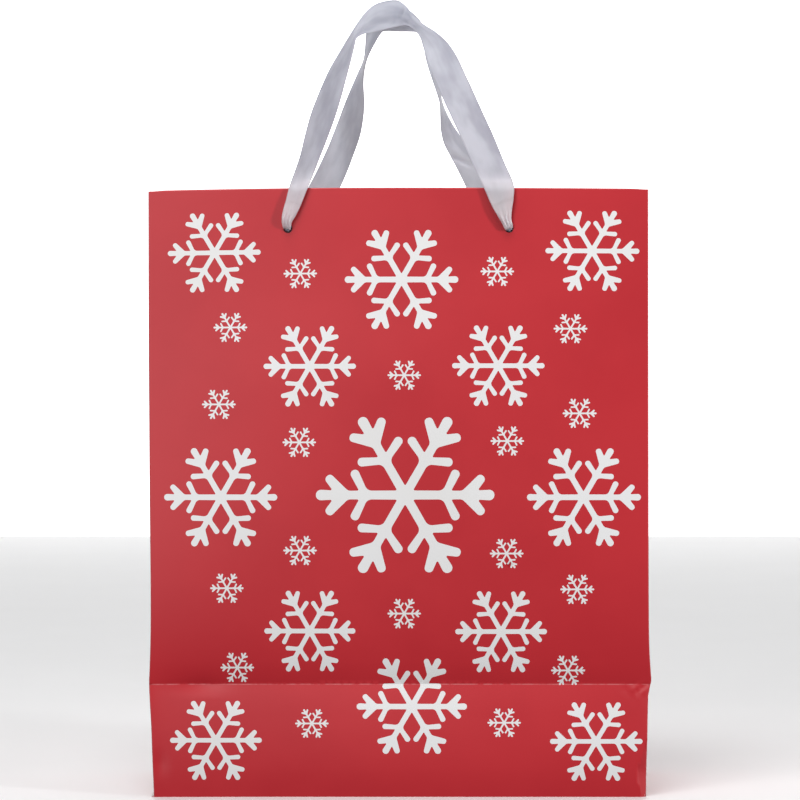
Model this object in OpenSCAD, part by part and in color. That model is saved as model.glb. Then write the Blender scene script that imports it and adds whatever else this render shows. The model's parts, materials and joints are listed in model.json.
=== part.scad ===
// Gift bag: a block-bottom paper carrier with gusseted sides, a turned-over mouth stiffened
// with card, a loose base board, and two ribbon handles knotted through punched holes.
// The origin is the centre of the base, on the surface the bag stands on.
// +Z is up and the front panel faces -Y. All sizes are in millimetres.

/* [Bag] */
// Width of the front and back panels
body_w = 260; // [220:1:300]
// Height of the bag without its handles
body_h = 320; // [300:1:340]
// Depth of the bag from front to back
body_d = 120; // [110:1:130]
// Thickness of the laminated paper
paper_t = 0.3; // [0.2:0.05:0.4]
// How far each gusset's centre fold is drawn in at the mouth
gusset_inset = 6; // [2:1:6]
// Width of the strip that glues the paper tube shut
glue_flap_w = 15; // [10:1:20]

/* [Base] */
// Length of the bottom flap that folds in from the front
front_flap_l = 80; // [70:1:85]
// Length of the bottom flap that folds in from the back
back_flap_l = 90; // [86:1:95]
// Length of the two bottom flaps that fold in from the sides
side_flap_l = 78; // [65:1:80]
// Thickness of the loose board on the bottom
base_board_t = 1; // [0.5:0.1:1.5]
// Gap between the loose board and the front and back walls
base_board_gap = 2.5; // [1.5:0.5:5]
// Gap between the loose board and the gusseted sides
base_board_side_gap = 5.5; // [5:0.5:10]

/* [Mouth] */
// Height of the paper that is turned over inside the mouth
hem_h = 40; // [35:1:45]
// Thickness of the card strip under the turned-over paper
card_t = 0.8; // [0.5:0.1:1]
// Diameter of the punched holes for the ribbons
hole_d = 5.5; // [5:0.1:7]
// Distance between the two holes of one panel
hole_spacing = 116; // [100:1:130]
// Distance from the top edge down to the holes
hole_drop = 22; // [18:1:26]

/* [Handles] */
// Width of the ribbon
ribbon_w = 17; // [14:1:20]
// Thickness of the ribbon
ribbon_t = 0.5; // [0.4:0.1:0.8]
// Distance from the panel to the middle of the ribbon that hangs in front of it
ribbon_standoff = 2.2; // [1:0.1:3]
// Width of the ribbon where it is gathered into the hole
pinch_w = 7; // [5:1:9]
// Height of each loop along its own slope, above the top edge
loop_rise = 120; // [100:1:122]
// Lean of each loop towards the middle of the bag, in degrees
loop_lean = 29; // [20:1:29]
// Half the distance between the front ribbon's legs at the top edge
front_foot_x = 52; // [46:1:56]
// Half the distance between the back ribbon's legs at the top edge
back_foot_x = 45; // [42:1:54]
// Radius of the front ribbon's bend at its middle line
front_bend_r = 28; // [22:1:30]
// Radius of the back ribbon's bend at its middle line
back_bend_r = 22; // [18:1:28]
// Radius of the knot behind each hole
knot_r = 4.6; // [4:0.1:5.5]

/* [Hidden] */
half_w = body_w / 2;
half_d = body_d / 2;
inner_y = half_d - paper_t;
crease_h = body_d / 2;
gusset_step = 20;
side_flap_z = 2 * paper_t;
foot_z = 3 * paper_t;
flap_side_gap = 2 * paper_t;
step_gap = 0.1;
base_board_z = foot_z + 0.1;
card_side_gap = 2;
side_hem_gap = 2.1;
side_hem_offset = 0.12;
hem_outer_y = inner_y - card_t;
hem_inner_y = hem_outer_y - paper_t;
hem_z = body_h - hem_h;
hole_z = body_h - hole_drop;
hole_x = hole_spacing / 2;
stem_r = hole_d / 2 - 0.35;
stem_out = ribbon_standoff - ribbon_t / 2 - 0.15;
knot_y = hem_inner_y - 0.1 - knot_r;
tail_w = 8;
tail_t = 0.8;
tail_end_z = hole_z - knot_r - 8;
ribbon_y = half_d + ribbon_standoff;
hinge_z = body_h + 0.5;
hinge_gap = 0.3;
bend_steps = 28;
paper_red = "#B93A40";
paper_white = "#ECEAE6";
card_grey = "#B4AFA8";
ribbon_silver = "#BDBEC8";

// ---- Shapes that repeat ----

// Moves a shape made for the front to the back
module at_back() {
    mirror([0, 1, 0]) children();
}

// Moves a shape made for the right to the left
module at_left() {
    mirror([1, 0, 0]) children();
}

// The pair of punched holes, as cutters through every layer at the front of the mouth
module front_hole_cutters() {
    for (x = [-hole_x, hole_x]) {
        translate([x, -half_d - 1, hole_z])
            rotate([-90, 0, 0])
                cylinder(h = card_t + 2 * paper_t + 2, d = hole_d, $fn = 48);
    }
}

// The panel that faces the front, between two heights
module front_sheet(z_from, z_to) {
    translate([-half_w, -half_d, z_from])
        cube([body_w, paper_t, z_to - z_from]);
}

// The card strip that stiffens the mouth at the front
module front_card() {
    difference() {
        translate([card_side_gap - half_w, -inner_y, hem_z + 1])
            cube([body_w - 2 * card_side_gap, card_t, hem_h - 1 - paper_t]);
        front_hole_cutters();
    }
}

// The paper turned over the card strip: a fold along the top edge and the strip behind it
module front_turned_paper() {
    hem_w = body_w - 2 * card_side_gap;
    difference() {
        translate([-hem_w / 2, 0, 0])
            rotate([90, 0, 90])
                linear_extrude(hem_w)
                    polygon([
                        [-inner_y, body_h], [-inner_y, body_h - paper_t],
                        [-hem_outer_y, body_h - paper_t], [-hem_outer_y, hem_z],
                        [-hem_inner_y, hem_z], [-hem_inner_y, body_h]
                    ]);
        front_hole_cutters();
    }
}

// Distance of the right gusset's outer face from the middle plane
function gusset_x(y, z) =
    half_w - gusset_inset * (z - crease_h) / (body_h - crease_h) * (1 - abs(y) / half_d);

// A thin sheet that follows the right gusset, through the given depths and heights.
// inset is how far it lies inside the gusset's outer face.
module gusset_sheet(depths, z_from, z_to, inset) {
    cols = len(depths);
    rows = round((z_to - z_from) / gusset_step) + 1;
    layer = rows * cols;
    points = [
        for (skin = [0, 1]) for (row = [0 : rows - 1]) for (y = depths)
            let (z = z_from + (z_to - z_from) * row / (rows - 1))
                [gusset_x(y, z) - inset - skin * paper_t, y, z]
    ];
    outer_faces = [
        for (row = [0 : rows - 2]) for (col = [0 : cols - 2])
            let (a = row * cols + col)
                for (face = [[a, a + cols, a + cols + 1], [a, a + cols + 1, a + 1]]) face
    ];
    inner_faces = [for (f = outer_faces) [f[0] + layer, f[2] + layer, f[1] + layer]];
    rim = concat(
        [for (col = [0 : cols - 1]) col],
        [for (row = [1 : rows - 1]) row * cols + cols - 1],
        [for (col = [cols - 2 : -1 : 0]) layer - cols + col],
        [for (row = [rows - 2 : -1 : 1]) row * cols]
    );
    rim_faces = [
        for (i = [0 : len(rim) - 1])
            let (a = rim[i], b = rim[(i + 1) % len(rim)])
                for (face = [[a, b, b + layer], [a, b + layer, a + layer]]) face
    ];
    polyhedron(points, concat(outer_faces, inner_faces, rim_faces), convexity = 4);
}

// The half of the right gusset that is nearer the front
module gusset_front_half() {
    gusset_sheet([-inner_y, 0], crease_h, body_h, 0);
}

// The paper turned over inside the mouth of the right gusset, as two halves joined at its fold
module gusset_turned_paper() {
    for (back = [0, 1]) {
        mirror([0, back, 0])
            gusset_sheet([side_hem_gap - inner_y, 0], hem_z, body_h, paper_t + side_hem_offset);
    }
}

// The right side below the level of the crease
module side_foot() {
    translate([half_w - paper_t, -inner_y, foot_z])
        cube([paper_t, 2 * inner_y, crease_h - foot_z]);
}

// The bottom flap that folds in from the right
module side_flap() {
    flap_y = half_d - flap_side_gap;
    translate([half_w - side_flap_l, -flap_y, side_flap_z])
        cube([side_flap_l, 2 * flap_y, paper_t]);
}

// Outline of a bottom flap that folds in from the front, with mitred ends
module mitred_flap(flap_l) {
    tip_x = half_w - flap_l;
    polygon([
        [-half_w, -half_d], [half_w, -half_d],
        [tip_x, flap_l - half_d], [-tip_x, flap_l - half_d]
    ]);
}

// A knot behind the front right hole: its stem through the hole, the knot and its tail
module front_knot() {
    translate([hole_x, -half_d - stem_out, hole_z])
        rotate([-90, 0, 0])
            cylinder(h = half_d + stem_out - knot_y, r = stem_r, $fn = 32);
    translate([hole_x, -knot_y, hole_z])
        sphere(r = knot_r, $fn = 32);
    translate([hole_x - tail_w / 2, -knot_y - tail_t / 2, tail_end_z])
        cube([tail_w, tail_t, hole_z - tail_end_z]);
}

// The two front stretches of ribbon that lie on the panel, from the holes to the top edge
module leg_pair(foot_x) {
    rise = hinge_z - hinge_gap - hole_z;
    for (side = [0, 1]) {
        mirror([side, 0, 0])
            translate([0, -ribbon_y, hole_z])
                rotate([90, 0, 0])
                    linear_extrude(ribbon_t, center = true)
                        polygon([
                            [hole_x - pinch_w / 2, hinge_gap], [hole_x + pinch_w / 2, hinge_gap],
                            [foot_x + ribbon_w / 2, rise], [foot_x - ribbon_w / 2, rise]
                        ]);
    }
}

// Angle at which the straight leg of a loop meets its round bend
function bend_start(foot_x, centre_h, bend_r) =
    acos(bend_r / norm([foot_x, centre_h])) - atan2(centre_h, foot_x);

// Points of an arc about the loop's bend
function bend_arc(centre_h, r, from, to) = [
    for (i = [0 : bend_steps])
        let (a = from + (to - from) * i / bend_steps)
            [r * cos(a), centre_h + r * sin(a)]
];

// Flat outline of a ribbon loop: two straight legs and a round bend, of even width
module loop_outline(foot_x, bend_r) {
    centre_h = loop_rise - ribbon_w / 2 - bend_r;
    start = bend_start(foot_x, centre_h, bend_r);
    foot_half_w = ribbon_w / 2 / cos(start);
    outer_arc = bend_arc(centre_h, bend_r + ribbon_w / 2, start, 180 - start);
    inner_arc = bend_arc(centre_h, bend_r - ribbon_w / 2, 180 - start, start);
    polygon(concat(
        [[foot_x + foot_half_w, hinge_gap]], outer_arc,
        [[-foot_x - foot_half_w, hinge_gap], [foot_half_w - foot_x, hinge_gap]], inner_arc,
        [[foot_x - foot_half_w, hinge_gap]]
    ));
}

// A ribbon loop above the front panel, leaning inwards from the top edge
module front_loop(foot_x, bend_r) {
    translate([0, -ribbon_y, hinge_z])
        rotate([90 - loop_lean, 0, 0])
            linear_extrude(ribbon_t, center = true)
                loop_outline(foot_x, bend_r);
}

// ---- Panels ----

module front_panel() {
    color(paper_red)
        difference() {
            front_sheet(crease_h, body_h);
            front_hole_cutters();
        }
}

module front_foot_panel() {
    color(paper_red) front_sheet(paper_t, crease_h);
}

module back_panel() {
    color(paper_red)
        at_back()
            difference() {
                front_sheet(paper_t, body_h);
                front_hole_cutters();
            }
}

module right_gusset_front() {
    color(paper_red) gusset_front_half();
}

module right_gusset_rear() {
    color(paper_red) at_back() gusset_front_half();
}

module left_gusset_front() {
    color(paper_red) at_left() gusset_front_half();
}

module left_gusset_rear() {
    color(paper_red) at_left() at_back() gusset_front_half();
}

module right_foot_panel() {
    color(paper_red) side_foot();
}

module left_foot_panel() {
    color(paper_red) at_left() side_foot();
}

module side_glue_flap() {
    color(paper_white)
        translate([2 * paper_t - half_w, inner_y - paper_t, base_board_z + base_board_t])
            cube([glue_flap_w, paper_t, hem_z - base_board_z - base_board_t - 1]);
}

// ---- Base ----

// The front flap crosses over the back flap, so it steps up by one layer of paper
module bottom_front_flap() {
    step_y = half_d - back_flap_l - step_gap;
    color(paper_red)
        intersection() {
            linear_extrude(2 * paper_t) mitred_flap(front_flap_l);
            translate([-half_w, 0, 0])
                rotate([90, 0, 90])
                    linear_extrude(body_w)
                        polygon([
                            [-half_d, 0], [step_y, 0], [step_y, paper_t],
                            [half_d, paper_t], [half_d, 2 * paper_t],
                            [step_y - paper_t, 2 * paper_t], [step_y - paper_t, paper_t],
                            [-half_d, paper_t]
                        ]);
        }
}

module bottom_back_flap() {
    color(paper_red)
        at_back()
            linear_extrude(paper_t) mitred_flap(back_flap_l);
}

module bottom_right_flap() {
    color(paper_red) side_flap();
}

module bottom_left_flap() {
    color(paper_red) at_left() side_flap();
}

module base_board() {
    board_w = body_w - 2 * (paper_t + base_board_side_gap);
    board_d = body_d - 2 * (paper_t + base_board_gap);
    color(card_grey)
        translate([-board_w / 2, -board_d / 2, base_board_z])
            cube([board_w, board_d, base_board_t]);
}

// ---- Mouth ----

module front_reinforcement() {
    color(card_grey) front_card();
}

module back_reinforcement() {
    color(card_grey) at_back() front_card();
}

module front_hem() {
    color(paper_red) front_turned_paper();
}

module back_hem() {
    color(paper_red) at_back() front_turned_paper();
}

module right_hem() {
    color(paper_red) gusset_turned_paper();
}

module left_hem() {
    color(paper_red) at_left() gusset_turned_paper();
}

// ---- Handles ----

module front_right_knot() {
    color(ribbon_silver) front_knot();
}

module front_left_knot() {
    color(ribbon_silver) at_left() front_knot();
}

module back_right_knot() {
    color(ribbon_silver) at_back() front_knot();
}

module back_left_knot() {
    color(ribbon_silver) at_back() at_left() front_knot();
}

module front_handle_legs() {
    color(ribbon_silver) leg_pair(front_foot_x);
}

module back_handle_legs() {
    color(ribbon_silver) at_back() leg_pair(back_foot_x);
}

module front_handle_loop() {
    color(ribbon_silver) front_loop(front_foot_x, front_bend_r);
}

module back_handle_loop() {
    color(ribbon_silver) at_back() front_loop(back_foot_x, back_bend_r);
}

front_panel();
front_foot_panel();
back_panel();
left_gusset_front();
left_gusset_rear();
right_gusset_front();
right_gusset_rear();
left_foot_panel();
right_foot_panel();
side_glue_flap();
bottom_front_flap();
bottom_back_flap();
bottom_left_flap();
bottom_right_flap();
front_hem();
back_hem();
left_hem();
right_hem();
front_reinforcement();
back_reinforcement();
base_board();
front_left_knot();
front_right_knot();
back_left_knot();
back_right_knot();
front_handle_legs();
front_handle_loop();
back_handle_legs();
back_handle_loop();
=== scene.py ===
# %% [markdown]
# # A paper gift bag with two ribbon handles
# This lesson builds the looks of a gift bag around a frame that is already fixed: panels, gussets,
# turned-over mouth, card strips, base board, knots and ribbons each have their place and size there.
# The paper is one printed sheet that is cut flat, folded and pasted, so every paper piece is drawn
# flat first, with its print, and then carried to its place by a function. That keeps the print
# unstretched and makes neighbouring pieces meet exactly, because they share the same functions.

# %% Load the frame
import json
import math

import bmesh
import bpy
import numpy as np
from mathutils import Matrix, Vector, geometry


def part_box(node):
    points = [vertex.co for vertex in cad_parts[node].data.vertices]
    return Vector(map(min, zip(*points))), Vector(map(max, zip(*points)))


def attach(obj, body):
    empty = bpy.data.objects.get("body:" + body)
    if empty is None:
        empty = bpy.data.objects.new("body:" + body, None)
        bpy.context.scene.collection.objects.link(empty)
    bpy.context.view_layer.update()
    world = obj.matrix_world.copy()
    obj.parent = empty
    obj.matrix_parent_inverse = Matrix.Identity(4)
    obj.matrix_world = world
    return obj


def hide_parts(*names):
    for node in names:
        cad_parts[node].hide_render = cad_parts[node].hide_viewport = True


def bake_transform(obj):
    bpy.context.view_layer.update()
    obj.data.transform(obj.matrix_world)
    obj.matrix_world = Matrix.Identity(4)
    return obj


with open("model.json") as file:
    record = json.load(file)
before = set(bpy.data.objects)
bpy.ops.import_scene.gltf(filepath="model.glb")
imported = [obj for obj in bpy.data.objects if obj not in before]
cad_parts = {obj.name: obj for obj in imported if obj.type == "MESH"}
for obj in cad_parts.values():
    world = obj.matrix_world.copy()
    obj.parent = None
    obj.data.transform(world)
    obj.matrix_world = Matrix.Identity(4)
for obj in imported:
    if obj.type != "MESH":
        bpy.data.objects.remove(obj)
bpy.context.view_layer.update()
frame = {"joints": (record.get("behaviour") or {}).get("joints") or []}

MM = 0.001

# %% [markdown]
# ## Camera
# A product picture of a bag is taken square to its front with a long lens from a good distance, so
# that the sides stay hidden and the print keeps its shape. The camera stands at about half the
# height of the whole bag, and the lens is worked out from the width that the picture has to hold.

# %% Camera
CAMERA_GAP = 1.6
CAMERA_HEIGHT = 208.5 * MM
CAMERA_ASIDE = 0.8 * MM
PICTURE_WIDTH = 419.7 * MM
panel_low, panel_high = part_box("front_panel")
camera_data = bpy.data.cameras.new("studio_camera")
camera_data.lens = camera_data.sensor_width * CAMERA_GAP / PICTURE_WIDTH
camera = bpy.data.objects.new("studio_camera", camera_data)
camera.location = (CAMERA_ASIDE, panel_low.y - CAMERA_GAP, CAMERA_HEIGHT)
camera.rotation_euler = (math.radians(90), 0, 0)
bpy.context.scene.collection.objects.link(camera)
bpy.context.scene.camera = camera
bpy.context.scene.view_settings.view_transform = "Standard"
print("lens in mm:", round(camera_data.lens, 1))

# %% [markdown]
# ## Sizes of the bag
# The sizes come from the frame's own boxes. Only three small ones are a maker's knowledge: the
# thickness of laminated paper, the radius of a pressed fold, and the radius of a punched hole.

# %% Sizes
HALF_W = panel_high.x
HALF_D = -panel_low.y
TOP = panel_high.z
CREASE = panel_low.z
HEM_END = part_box("front_hem")[0].z
PAPER = 0.3 * MM
FOLD_R = 0.7 * MM
HOLE_R = 2.4 * MM
knot_low, knot_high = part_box("front_right_knot")
HOLE_X = (knot_low.x + knot_high.x) / 2
HOLE_Z = next(j["pos_m"][2] for j in frame["joints"] if j["name"] == "front_handle_swing")
print("bag in mm:", 2 * HALF_W / MM, 2 * HALF_D / MM, TOP / MM, "holes at", HOLE_X / MM, HOLE_Z / MM)

# %% [markdown]
# ## Writing materials as sums
# Procedural materials are chains of nodes, which get long when each node is placed by hand. The
# class below wraps one socket. Adding or multiplying wrapped sockets adds the Math nodes, and every
# other node comes from one method, so a material reads like the rule it follows.

# %% A socket that can be used in sums
class Shade:
    """One output socket of a material's node tree, usable in sums like a number."""

    def __init__(self, tree, plug=None):
        self.tree = tree
        self.plug = plug

    def node(self, kind, settings=None, inputs=None, output=0):
        """Adds a node: its settings first, then values or links for its sockets."""
        made = self.tree.nodes.new(kind)
        for name, value in (settings or {}).items():
            if name == "stops":
                set_stops(made.color_ramp, value)
            else:
                setattr(made, name, value)
        for name, value in (inputs or {}).items():
            if isinstance(value, Shade):
                self.tree.links.new(value.plug, made.inputs[name])
            else:
                made.inputs[name].default_value = value
        return Shade(self.tree, made.outputs[output])

    def math(self, operation, *values):
        return self.node("ShaderNodeMath", {"operation": operation}, dict(enumerate(values)))

    def mix(self, factor, first, second):
        """Goes from one colour to another as the factor goes from 0 to 1."""
        return self.node("ShaderNodeMix", {"data_type": "RGBA"}, {0: factor, 6: first, 7: second}, 2)

    def rise(self, low, high):
        """0 below low, 1 above high, and a soft step between them."""
        settings = {"interpolation_type": "SMOOTHSTEP", "clamp": True}
        return self.node("ShaderNodeMapRange", settings, {0: self, 1: low, 2: high, 3: 0.0, 4: 1.0})

    def __add__(self, other):
        return self.math("ADD", self, other)

    def __radd__(self, other):
        return self.math("ADD", other, self)

    def __sub__(self, other):
        return self.math("SUBTRACT", self, other)

    def __rsub__(self, other):
        return self.math("SUBTRACT", other, self)

    def __mul__(self, other):
        return self.math("MULTIPLY", self, other)

    def __rmul__(self, other):
        return self.math("MULTIPLY", other, self)


def set_stops(ramp, stops):
    """Sets a colour ramp's stops from (place, colour) pairs."""
    while len(ramp.elements) < len(stops):
        ramp.elements.new(1.0)
    for element, (place, colour) in zip(ramp.elements, stops):
        element.position = place
        element.color = colour


def new_material(name, **constants):
    """A material with its shader's fixed values set, a Shade to start from, and the shader."""
    material = bpy.data.materials.new(name)
    material.use_nodes = True
    tree = material.node_tree
    shader = tree.nodes["Principled BSDF"]
    for socket, value in constants.items():
        shader.inputs[socket.replace("_", " ")].default_value = value
    return material, Shade(tree), shader


def feed(shader, socket, value):
    """Links a Shade to one of the shader's sockets."""
    value.tree.links.new(value.plug, shader.inputs[socket])


def flat_place(start, scale):
    """A point's place on the flat piece, in metres, times scale."""
    place = start.node("ShaderNodeUVMap", {"uv_map": "Flat"})
    return start.node("ShaderNodeVectorMath", {"operation": "SCALE"}, {0: place, "Scale": scale}, 0)


def noise(start, place, size, detail=3.0, roughness=0.55):
    """Soft random patches of about 1 / size."""
    sockets = {"Vector": place, "Scale": size, "Detail": detail, "Roughness": roughness}
    return start.node("ShaderNodeTexNoise", {}, sockets)


print("material helpers ready")

# %% [markdown]
# ## Laminated red paper
# Gift-bag paper is coated board printed in flat ink and laminated with a thin film. The film gives
# a broad, soft gloss that lightens the colour towards the light. Pressed folds break the film and
# the ink a little, which shows as a thin pale line with gaps. The line is painted from a stored
# distance to the nearest fold, so it follows folds of any direction, and the paper's slight
# orange-peel unevenness is a very weak bump.

# %% Red paper and white ink
RED_INK = (0.545, 0.020, 0.029, 1.0)
RED_INK_DEEP = (0.500, 0.015, 0.024, 1.0)
WORN_INK = (0.72, 0.28, 0.29, 1.0)
WHITE_INK = (0.83, 0.83, 0.835, 1.0)
WHITE_INK_WARM = (0.80, 0.79, 0.78, 1.0)


def laminated(name, first, second, worn):
    """Laminated printed paper: two close tones of ink, worn pale along its folds."""
    material, start, shader = new_material(name, Coat_Weight=0.3, Coat_Roughness=0.36, IOR=1.46)
    place = flat_place(start, 1.0)
    tone = noise(start, place, 9.0, 4.0)
    ink = start.mix(tone.rise(0.35, 0.65), first, second)
    distance = start.node("ShaderNodeAttribute", {"attribute_name": "fold"}, output=2)
    broken = noise(start, place, 210.0, 2.0)
    line = 1.0 - distance.rise(0.00010, 0.00045)
    mask = line * broken.rise(0.30, 0.62) * 0.4
    feed(shader, "Base Color", start.mix(mask, ink, worn))
    smudge = noise(start, place, 26.0, 3.0)
    feed(shader, "Roughness", 0.37 + smudge * 0.06 + mask * 0.2)
    grain = noise(start, place, 900.0, 2.0) * 0.35 + noise(start, place, 160.0, 2.0) * 0.65
    bump = start.node("ShaderNodeBump", {}, {"Strength": 0.05, "Distance": 0.0004, "Height": grain})
    feed(shader, "Normal", bump)
    return material


red_paper = laminated("laminated_red", RED_INK, RED_INK_DEEP, WORN_INK)
white_print = laminated("white_print", WHITE_INK, WHITE_INK_WARM, WHITE_INK)
print("printed papers:", red_paper.name, white_print.name)

# %% [markdown]
# ## Unprinted paper, cut edges and card
# The inner side is plain uncoated paper: matt, slightly warm and fibrous. A cut edge shows the white
# core. The card strips and the base board are recycled grey board with small dark and light flecks.

# %% Plain papers
def fibrous(name, light, dark, fleck, fleck_share, height):
    """Uncoated paper or board: two tones, fibre bump and a share of flecks."""
    material, start, shader = new_material(name, Roughness=0.85, IOR=1.4)
    place = flat_place(start, 1.0)
    tone = noise(start, place, 38.0, 5.0)
    flecks = noise(start, place, 1400.0, 1.0).rise(0.64, 0.70) * fleck_share
    plain = start.mix(tone.rise(0.3, 0.7), light, dark)
    feed(shader, "Base Color", start.mix(flecks, plain, fleck))
    fibre = noise(start, place, 700.0, 4.0) * 0.6 + noise(start, place, 240.0, 3.0) * 0.4
    bump = start.node("ShaderNodeBump", {}, {"Strength": height, "Distance": 0.0003, "Height": fibre})
    feed(shader, "Normal", bump)
    return material


inner_paper = fibrous(
    "uncoated_inner", (0.80, 0.79, 0.76, 1), (0.74, 0.73, 0.70, 1), (0.66, 0.64, 0.60, 1), 0.3, 0.25
)
cut_edge = fibrous(
    "cut_paper_edge", (0.84, 0.82, 0.79, 1), (0.72, 0.69, 0.66, 1), (0.6, 0.56, 0.53, 1), 0.4, 0.3
)
grey_board = fibrous(
    "grey_board", (0.47, 0.44, 0.40, 1), (0.40, 0.375, 0.34, 1), (0.20, 0.18, 0.16, 1), 0.7, 0.4
)
print("plain papers ready")

# %% [markdown]
# ## Satin ribbon
# Satin floats long threads over its face, so it is smooth along the ribbon and shines in broad
# bands. The bands come from the ribbon's own bends. What the material adds is the cool silver
# colour, lighter and darker patches along the ribbon that are painted sheen standing in for its
# shine bands, a painted highlight that makes the last few centimetres towards each hole much paler
# under any light, a fine thread bump and the firmer woven edges.

# %% Satin ribbon
RIBBON_W = 17 * MM


def satin():
    material, start, shader = new_material(
        "silver_satin", Subsurface_Weight=0.9, Subsurface_Scale=0.003,
        Subsurface_Radius=(1, 1, 1), Sheen_Weight=0.15, Sheen_Roughness=0.4, IOR=1.42
    )
    place = flat_place(start, 1.0)
    across = start.node("ShaderNodeSeparateXYZ", {}, {0: place})
    stretched = start.node(
        "ShaderNodeMapping", {}, {"Vector": place, "Scale": (60.0, 22.0, 1.0)}
    )
    cloudy = noise(start, stretched, 1.0, 3.0)
    # Painted sheen: the noise makes lighter and darker stretches along the ribbon that stand in for
    # satin's shine bands.
    painted_sheen_patches = cloudy.rise(0.36, 0.64)
    plain = start.mix(painted_sheen_patches, (0.27, 0.28, 0.34, 1), (0.40, 0.415, 0.49, 1))
    # Painted highlight: towards each hole the ribbon takes this much paler colour, standing in for the
    # light that falls there; it stays pale under any light.
    painted_highlight_colour = start.mix(painted_sheen_patches, (0.72, 0.74, 0.85, 1), (0.80, 0.82, 0.93, 1))
    gathered = start.node("ShaderNodeAttribute", {"attribute_name": "gathered"}, output=2)
    colour = start.mix(gathered, plain, painted_highlight_colour)
    edge = 1.0 - across.rise(0.0003, 0.0008) * (RIBBON_W - across).rise(0.0003, 0.0008)
    feed(shader, "Base Color", start.mix(edge * 0.5, colour, (0.27, 0.27, 0.34, 1)))
    feed(shader, "Roughness", 0.46 + edge * 0.15 + cloudy * 0.08)
    threads = start.node(
        "ShaderNodeTexWave",
        {"wave_type": "BANDS", "bands_direction": "X"},
        {"Vector": place, "Scale": 1100.0, "Distortion": 1.2, "Detail": 1.0},
    )
    picks = start.node(
        "ShaderNodeTexWave",
        {"wave_type": "BANDS", "bands_direction": "Y"},
        {"Vector": place, "Scale": 700.0, "Distortion": 0.8, "Detail": 1.0},
    )
    height = threads * 0.5 + picks * 0.3 + edge * 1.5
    bump = start.node("ShaderNodeBump", {}, {"Strength": 0.22, "Distance": 0.00012, "Height": height})
    feed(shader, "Normal", bump)
    return material


silver_satin = satin()
print("ribbon material:", silver_satin.name)

# %% [markdown]
# ## The shape of a standing paper bag
# A bag that was folded flat never opens into a perfect box. Its front bellies out a little, dips
# into the crease that the flat fold left at half the bag's depth, and its corners bulge where that
# crease meets them. The sides draw in along their centre fold. Each function below takes a place on
# the flat paper and says how far the paper stands from the ideal box, in metres.

# %% Soft steps and smooth lines
def step(x, low, high):
    """0 below low, 1 above high, smooth between."""
    t = np.clip((x - low) / (high - low), 0, 1)
    return t * t * (3 - 2 * t)


def smooth_rows(rows, count):
    """A smooth curve of count points through given rows of numbers."""
    rows = np.array(rows, float)
    padded = np.vstack([2 * rows[0] - rows[1], rows, 2 * rows[-1] - rows[-2]])
    t = np.linspace(0, len(rows) - 1, count)
    i = np.minimum(t.astype(int), len(rows) - 2)
    f = (t - i)[:, None]
    a, b, c, d = (padded[i + k] for k in range(4))
    return 0.5 * (
        2 * b + (c - a) * f + (2 * a - 5 * b + 4 * c - d) * f**2 + (3 * b - a - 3 * c + d) * f**3
    )


def line_over_height(points):
    """A function of height through (height, value) points given in millimetres."""
    curve = smooth_rows(points, 400) * MM
    return lambda v: np.interp(v, curve[:, 0], curve[:, 1])


print("curve helpers ready")

# %% Corner folds, front and back
left_corner = line_over_height(
    [(0, -1.6), (12, -1.1), (24, -0.6), (36, -0.2), (48, 0.5), (60, 1.1), (70, 0.7), (85, 0.2),
     (110, 0.1), (160, 0.6), (240, 1.1), (320, 1.3)]
)
right_corner = line_over_height(
    [(0, 0.2), (20, 0.6), (40, 0.9), (54, 1.3), (59, 2.2), (62, 2.9), (68, 2.5), (77, 1.9),
     (92, 1.5), (140, 1.3), (320, 1.2)]
)


def corner_out(side, v):
    """How far a front corner fold stands out sideways."""
    return right_corner(v) if side > 0 else left_corner(v)


def top_drop(u):
    """How far the top edge lies below its middle."""
    t = u / HALF_W
    return np.where(t < 0, 1.7 * MM, 0.6 * MM) * t * t


def settle(v):
    """How far the paper around the crease has settled downwards."""
    return 1.0 * MM * np.exp(-(((v - CREASE) / 0.026) ** 2)) * step(v, 0, 0.02)


def lift(u, v):
    """Height of a point of the front or back above the ground."""
    return v - top_drop(u) * step(v, 0.2, TOP) - settle(v)


valley = line_over_height(
    [(0, 2.4), (5, 1.9), (10, 1.5), (16, 1.25), (24, 1.3), (34, 1.75), (42, 2.4), (48, 3), (54, 3.8),
     (60, 4.8)]
)
slope_above = line_over_height(
    [(60, 4.8), (63, 4.05), (67, 3.2), (72, 2.35), (80, 1.4), (90, 0.7), (105, 0.22), (125, 0.02),
     (140, 0), (320, 0)]
)


def crease_dip(v):
    """The valley that the flat fold leaves across the front: steep at the crease, fading away."""
    return np.where(v >= CREASE, slope_above(v), valley(v))


def near(x, centre, reach):
    """1 at the centre, fading to 0 at about twice the reach."""
    return np.exp(-(((x - centre) / reach) ** 2))


def front_out(u, v):
    """How far the front stands out of its flat plane."""
    across = np.clip(1 - (u / HALF_W) ** 2, 0, 1)
    belly = 2.0 * MM * across * step(v, 0.06, 0.16) * (1 - step(v, 0.21, 0.30))
    waves = 0.22 * MM * np.sin(u * 31 + 0.7) * np.sin(v * 24 + 1.2) * (1 - step(v, 0.24, 0.29))
    dip = crease_dip(v) * (0.55 + 0.45 * np.sqrt(across))
    above = np.clip(v - CREASE, 0, None)
    pinch = 0.9 * MM * near(u, -0.104, 0.012) * np.exp(-above / (4 * MM)) * step(v, 0.052, 0.0605)
    wrinkle = 0.16 * MM * np.sin((u - v) * 900) * near(u, 0.125, 0.006) * near(v, 0.0575, 0.0035)
    buckle_line = HALF_W - 5 * MM + 4 * MM * np.abs(v - 12 * MM) / (20 * MM)
    buckle = np.clip(u - buckle_line, 0, 5 * MM) * 0.75 * (1 - step(v, 0.024, 0.032))
    dent = 0.5 * MM * near(u, -0.126, 0.004) * near(v, 0.018, 0.006)
    return belly + waves - dip - pinch + wrinkle - buckle - dent


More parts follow.
